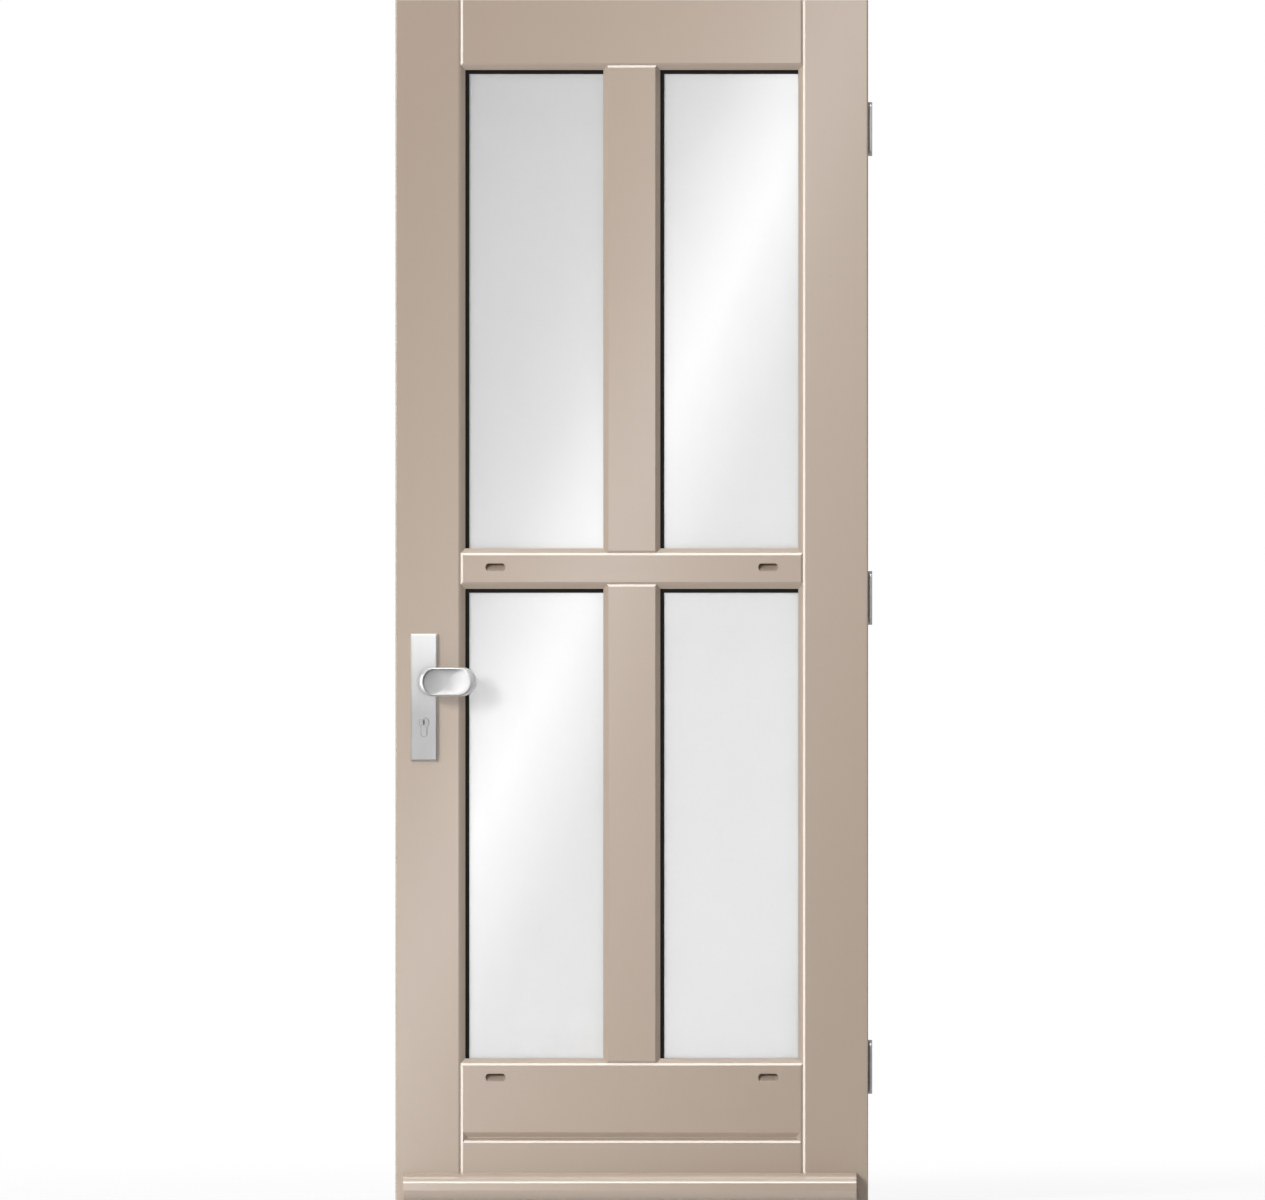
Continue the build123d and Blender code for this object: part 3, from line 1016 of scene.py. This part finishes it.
@dataclass
class LockSet:
    """Plates, knob, lever, cylinder and the lock's forend, with their screws."""

    plate_screw_inset: float = 0.014
    forend_screw_inset: float = 0.012
    # Share of the plate's height from which it is painted paler towards its top, a painted highlight
    plate_sheen_start: float = 0.375
    knob_face_depth: float = 0.0012

    def build(self, screw: Screw, pattern: bpy.types.Object) -> None:
        """Dresses the lock's solids and adds its handles and screws.

        Args:
            screw: the screw's sizes.
            pattern: the modelled screw head.
        """
        low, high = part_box("outside_plate")
        # The plate is painted paler towards its top: a painted highlight standing in for the light it
        # reflects there
        satin = BrushedMetal(
            "satin_steel",
            grey(0.465),
            Brushing.UPRIGHT,
            roughness=0.34,
            metallic=0.55,
            painted_sheen=0.85,
            sheen_from=low.z + self.plate_sheen_start * (high.z - low.z),
            sheen_to=high.z,
        ).material()
        # The knob's sides are painted paler than its face, a painted highlight on its rim; they are also
        # rougher, a real satin finish round a smoother face
        knob_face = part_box("outside_knob")[0].y
        cast = BrushedMetal(
            "knob_steel",
            grey(0.46),
            Brushing.ACROSS,
            roughness=0.16,
            metallic=0.85,
            painted_sheen=0.85,
            rise_roughness=0.30,
            sheen_axis="Y",
            sheen_from=knob_face + self.knob_face_depth,
            sheen_to=knob_face + 2 * self.knob_face_depth,
        ).material()
        nickel = BrushedMetal(
            "cylinder_nickel",
            grey(0.45),
            Brushing.UPRIGHT,
            roughness=0.34,
            metallic=0.55,
        ).material()
        # The plug is a little darker than the cylinder: painted shade standing in for its dark keyway
        plug_nickel = BrushedMetal(
            "plug_nickel",
            grey(0.42),
            Brushing.ACROSS,
            roughness=0.35,
            metallic=0.55,
        ).material()
        steel = BrushedMetal(
            "forend_steel",
            (0.50, 0.50, 0.49),
            Brushing.UPRIGHT,
            roughness=0.45,
        ).material()
        for node in ("outside_plate", "inside_plate"):
            dress(node, satin)
        dress("lock_cylinder", nickel)
        dress("cylinder_plug", plug_nickel)
        for node in ("lock_forend", "lock_bolts"):
            dress(node, steel)
        Knob().build(cast)
        Lever().build(cast)
        self.plate_screws(screw, pattern, steel)
        self.forend_screws(screw, pattern, steel)

    def plate_screws(
        self,
        screw: Screw,
        pattern: bpy.types.Object,
        material: bpy.types.Material,
    ) -> None:
        """Seats two screws in the inside plate, near its ends.

        Args:
            screw: the screw's sizes.
            pattern: the modelled screw head.
            material: their finish.
        """
        low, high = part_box("inside_plate")
        middle = (low.x + high.x) / 2
        seats = [
            Vector((middle, high.y, low.z + self.plate_screw_inset)),
            Vector((middle, high.y, high.z - self.plate_screw_inset)),
        ]
        screws = screw.copies(pattern, "inside_plate_screws", seats, Vector((0.0, 1.0, 0.0)))
        fitted(screws, DOOR, material)

    def forend_screws(
        self,
        screw: Screw,
        pattern: bpy.types.Object,
        material: bpy.types.Material,
    ) -> None:
        """Seats two screws in the forend, near its ends.

        Args:
            screw: the screw's sizes.
            pattern: the modelled screw head.
            material: their finish.
        """
        low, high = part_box("lock_forend")
        middle = (low.y + high.y) / 2
        seats = [
            Vector((low.x, middle, low.z + self.forend_screw_inset)),
            Vector((low.x, middle, high.z - self.forend_screw_inset)),
        ]
        screws = screw.copies(pattern, "forend_screws", seats, Vector((-1.0, 0.0, 0.0)))
        fitted(screws, DOOR, material)


@dataclass
class Hinges:
    """Three butt hinges and their screws."""

    plate_thickness: float = 0.003
    gap: float = 0.003
    screw_spread: float = 0.018
    screw_rise: float = 0.062
    height: float = 0.089

    def build(self, screw: Screw, pattern: bpy.types.Object) -> None:
        """Dresses the hinges and screws their leaves down.

        Args:
            screw: the screw's sizes.
            pattern: the modelled screw head.
        """
        steel = BrushedMetal(
            "hinge_steel_brushed",
            (0.66, 0.66, 0.65),
            Brushing.UPRIGHT,
            roughness=0.40,
            metallic=0.55,
        ).material()
        for node in ("hinge_frame_leaves", "hinge_pins", "hinge_door_leaves"):
            dress(node, steel)
        low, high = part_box("hinge_frame_leaves")
        lowest = low.z + self.height / 2
        highest = high.z - self.height / 2
        heights = {"lower": lowest, "middle": (lowest + highest) / 2, "upper": highest}
        jamb_face = -self.plate_thickness
        door_face = jamb_face - self.gap
        for place, height in heights.items():
            for side, face, way, body in (
                ("frame", jamb_face, -1.0, JAMB),
                ("door", door_face, 1.0, DOOR),
            ):
                seats = [
                    Vector((face, across * self.screw_spread / 2, height + up * self.screw_rise / 2))
                    for across in (-1, 1)
                    for up in (-1, 1)
                ]
                name = f"{place}_hinge_{side}_screws"
                screws = screw.copies(pattern, name, seats, Vector((way, 0.0, 0.0)))
                fitted(screws, body, steel)


@dataclass
class PhotoCamera:
    """A camera straight in front, framing the leaf where the photograph has it."""

    image_width: float = 1265.0
    image_height: float = 1200.0
    leaf_left: float = 395.5
    leaf_right: float = 868.15
    leaf_top: float = 0.0
    lens: float = 500.0
    sensor: float = 36.0

    def build(self) -> None:
        """Adds the camera and makes it the scene's own."""
        left, front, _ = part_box("lock_stile")[0]
        right, _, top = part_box("hinge_stile")[1]
        pixel = (right - left) / (self.leaf_right - self.leaf_left)
        x = left + (self.image_width / 2 - self.leaf_left) * pixel
        z = top - (self.image_height / 2 - self.leaf_top) * pixel
        distance = self.image_width * pixel * self.lens / self.sensor
        data = bpy.data.cameras.new("photo_camera")
        data.lens = self.lens
        data.sensor_width = self.sensor
        data.clip_end = 4 * distance
        camera = bpy.data.objects.new("photo_camera", data)
        camera.location = (x, front - distance, z)
        camera.rotation_euler = (math.radians(90), 0.0, 0.0)
        bpy.context.scene.collection.objects.link(camera)
        bpy.context.scene.camera = camera
        LOG.info("camera at %.2f m, %.3f mm to a pixel", distance, pixel * 1000)


@dataclass(frozen=True)
class Lamp:
    """A soft rectangular lamp that looks at the door's middle."""

    name: str
    place: Triple
    width: float
    height: float
    level: float
    glossy: bool = False

    def build(self, target: Vector) -> None:
        """Adds the lamp.

        Args:
            target: the point it looks at, where a white sheet facing it gets its level.
        """
        aim = target - Vector(self.place)
        data = bpy.data.lights.new(self.name, "AREA")
        data.shape = "RECTANGLE"
        data.size, data.size_y = self.width, self.height
        data.energy = self.level * math.pi**2 * aim.length_squared
        lamp = bpy.data.objects.new(self.name, data)
        lamp.location = self.place
        lamp.rotation_euler = aim.to_track_quat("-Z", "Y").to_euler()
        lamp.visible_camera = False
        lamp.visible_transmission = False
        lamp.visible_glossy = self.glossy
        bpy.context.scene.collection.objects.link(lamp)
        LOG.info("lamp %s of %.0f W", self.name, data.energy)


@dataclass(frozen=True)
class Card:
    """A glowing card that faces the door and shows only in reflections, or only through the glass."""

    name: str
    place: Triple
    width: float
    height: float
    along: Triple
    start: Triple
    shades: tuple[Pair, ...]
    in_reflections: bool = True

    def build(self, target: Vector) -> None:
        """Hangs the card.

        Args:
            target: the point it faces.
        """
        deselect_all()
        aim = target - Vector(self.place)
        bpy.ops.mesh.primitive_plane_add(
            size=1.0,
            location=self.place,
            rotation=aim.to_track_quat("Z", "Y").to_euler(),
        )
        bpy.context.active_object.scale = (self.width, self.height, 1.0)
        card = named(self.name)
        card.data.materials.append(self.glow())
        card.visible_camera = False
        card.visible_diffuse = False
        card.visible_shadow = False
        card.visible_glossy = self.in_reflections
        card.visible_transmission = not self.in_reflections
        LOG.info("card %s hung", self.name)

    def glow(self) -> bpy.types.Material:
        """Builds the card's glow, shaded by the distance from its start along one direction.

        Returns:
            The material.
        """
        tree = ShaderTree(self.name)
        peak = max(shade for _, shade in self.shades)
        first, last = self.shades[0][0], self.shades[-1][0]
        start = Vector(self.start).dot(Vector(self.along))
        across = tree.add("ShaderNodeVectorMath", operation="DOT_PRODUCT")
        across.inputs[1].default_value = self.along
        tree.join(tree.place(), across.inputs[0])
        distance = tree.ranged(across.outputs["Value"], (start + first, start + last))
        ramp = tree.add("ShaderNodeValToRGB")
        stops = ramp.color_ramp.elements
        while len(stops) < len(self.shades):
            stops.new(0.5)
        for stop, (place, shade) in zip(stops, self.shades):
            stop.position = (place - first) / (last - first)
            stop.color = (*grey(shade / peak), 1.0)
        tree.join(distance, ramp.inputs["Fac"])
        glow = tree.add("ShaderNodeEmission")
        glow.inputs["Strength"].default_value = peak
        tree.join(ramp.outputs["Color"], glow.inputs["Color"])
        tree.join(glow.outputs["Emission"], tree.output.inputs["Surface"])
        tree.material.cycles.emission_sampling = "NONE"
        return tree.material


@dataclass
class Studio:
    """Pale floor, white surroundings, soft lamps, and shaded cards for the sheen and the glass."""

    ambient: float = 0.12
    mirrored: float = 0.42
    floor_drop: float = 0.004
    floor_size: float = 12.0
    floor_shade: float = 0.85
    floor_glow_near: float = 0.80
    floor_glow_from: float = 0.9
    floor_glow_full: float = 3.2
    lamps: tuple[Lamp, ...] = (
        Lamp("left_strip", (-5.62, -3.04, 0.82), 1.2, 5.0, 0.12),
        Lamp("top_strip", (-0.42, -4.0, 7.75), 5.0, 2.0, 0.08),
        Lamp("key", (-6.60, -9.20, 3.9), 2.6, 2.6, 0.69),
        Lamp("overhead", (-0.42, -0.7, 8.0), 4.0, 1.0, 0.55),
        Lamp("room", (-1.2, 6.0, 2.6), 4.0, 4.0, 0.55),
    )
    cards: tuple[Card, ...] = (
        Card(
            "sheen_card",
            place=(-0.419, -1.6, 0.8175),
            width=1.9,
            height=2.6,
            along=(0.909, 0.0, -0.417),
            start=(-0.006, 0.0, 1.875),
            shades=((-0.68, 0.0), (-0.19, 1.15), (-0.02, 2.75), (0.15, 1.20), (0.75, 0.20)),
        ),
        Card(
            "left_card",
            place=(-5.62, -3.04, 0.8175),
            width=1.3,
            height=5.2,
            along=(0.0, 0.0, 1.0),
            start=(0.0, 0.0, 0.0),
            shades=((-2.0, 7.0), (4.0, 7.0)),
        ),
        Card(
            "top_card",
            place=(-0.419, -3.40, 8.07),
            width=5.0,
            height=4.0,
            along=(0.0, 0.906, 0.423),
            start=(-0.419, -3.40, 8.07),
            shades=((-2.0, 7.5), (-0.3, 7.5), (2.0, 1.0)),
        ),
        Card(
            "room_card",
            place=(-0.419, 1.2, 0.8175),
            width=4.0,
            height=5.0,
            along=(0.909, 0.0, -0.417),
            start=(-0.006, 0.0, 1.875),
            shades=((-0.42, 1.0), (-0.31, 0.45), (-0.10, 2.45), (0.05, 1.5), (0.25, 2.75), (0.55, 5.4)),
            in_reflections=False,
        ),
    )

    def build(self) -> None:
        """Sets up everything round the object."""
        low, high = SOLID_BOX
        middle = (low + high) / 2
        bpy.context.scene.view_settings.view_transform = "Standard"
        self.surroundings()
        self.floor(Vector((middle.x, middle.y, low.z - self.floor_drop)))
        for lamp in self.lamps:
            lamp.build(middle)
        for card in self.cards:
            card.build(middle)

    def surroundings(self) -> None:
        """Makes the world white to the eye and through glass, and a plain grey as light."""
        world = bpy.data.worlds.new("studio")
        bpy.context.scene.world = world
        world.use_nodes = True
        nodes, links = world.node_tree.nodes, world.node_tree.links
        background = nodes["Background"]
        background.inputs["Color"].default_value = (1.0, 1.0, 1.0, 1.0)
        path = nodes.new("ShaderNodeLightPath")
        unseen = nodes.new("ShaderNodeMapRange")
        unseen.inputs["To Min"].default_value = self.ambient
        unseen.inputs["To Max"].default_value = self.mirrored
        links.new(path.outputs["Is Glossy Ray"], unseen.inputs["Value"])
        strength = nodes.new("ShaderNodeMapRange")
        strength.inputs["To Max"].default_value = 1.0
        links.new(unseen.outputs["Result"], strength.inputs["To Min"])
        links.new(self.seen(nodes, links), strength.inputs["Value"])
        links.new(strength.outputs["Result"], background.inputs["Strength"])

    def seen(self, nodes: bpy.types.Nodes, links: bpy.types.NodeLinks) -> Socket:
        """A factor that is 1 for camera and transmission rays, else 0.

        Args:
            nodes: the tree's nodes.
            links: the tree's links.

        Returns:
            The factor's socket.
        """
        path = nodes.new("ShaderNodeLightPath")
        either = nodes.new("ShaderNodeMath")
        either.operation = "MAXIMUM"
        links.new(path.outputs["Is Camera Ray"], either.inputs[0])
        links.new(path.outputs["Is Transmission Ray"], either.inputs[1])
        return either.outputs["Value"]

    def floor(self, middle: Vector) -> None:
        """Lays a floor that keeps the object's shadow and fades to plain white further off.

        Args:
            middle: the floor's middle, under the object.
        """
        deselect_all()
        bpy.ops.mesh.primitive_plane_add(size=self.floor_size, location=middle)
        floor = named("floor")
        tree = ShaderTree("floor_white")
        diffuse = tree.add("ShaderNodeBsdfDiffuse")
        diffuse.inputs["Color"].default_value = (*grey(self.floor_shade), 1.0)
        glow = tree.add("ShaderNodeEmission")
        away = tree.add("ShaderNodeVectorMath", operation="DISTANCE")
        away.inputs[1].default_value = middle
        tree.join(tree.place(), away.inputs[0])
        share = tree.ranged(
            away.outputs["Value"],
            (self.floor_glow_from, self.floor_glow_full),
            (self.floor_glow_near, 1.0),
            interpolation_type="SMOOTHSTEP",
        )
        factor = tree.add("ShaderNodeMath", operation="MULTIPLY")
        tree.join(share, factor.inputs[0])
        tree.join(self.seen(tree.nodes, tree.links), factor.inputs[1])
        pale = tree.add("ShaderNodeMixShader")
        tree.join(factor.outputs["Value"], pale.inputs["Fac"])
        tree.join(diffuse.outputs["BSDF"], pale.inputs[1])
        tree.join(glow.outputs["Emission"], pale.inputs[2])
        tree.join(pale.outputs["Shader"], tree.output.inputs["Surface"])
        floor.data.materials.append(tree.material)
        floor.visible_glossy = False


def main() -> None:
    """Dresses the door, adds its small pieces and sets up the studio."""
    logging.basicConfig(level=logging.INFO, format="%(name)s: %(message)s")
    Joinery().build()
    Glazing().build()
    screw = Screw()
    pattern = screw.pattern()
    LockSet().build(screw, pattern)
    Hinges().build(screw, pattern)
    bpy.data.objects.remove(pattern)
    PhotoCamera().build()
    Studio().build()


if __name__ == "__main__":
    main()
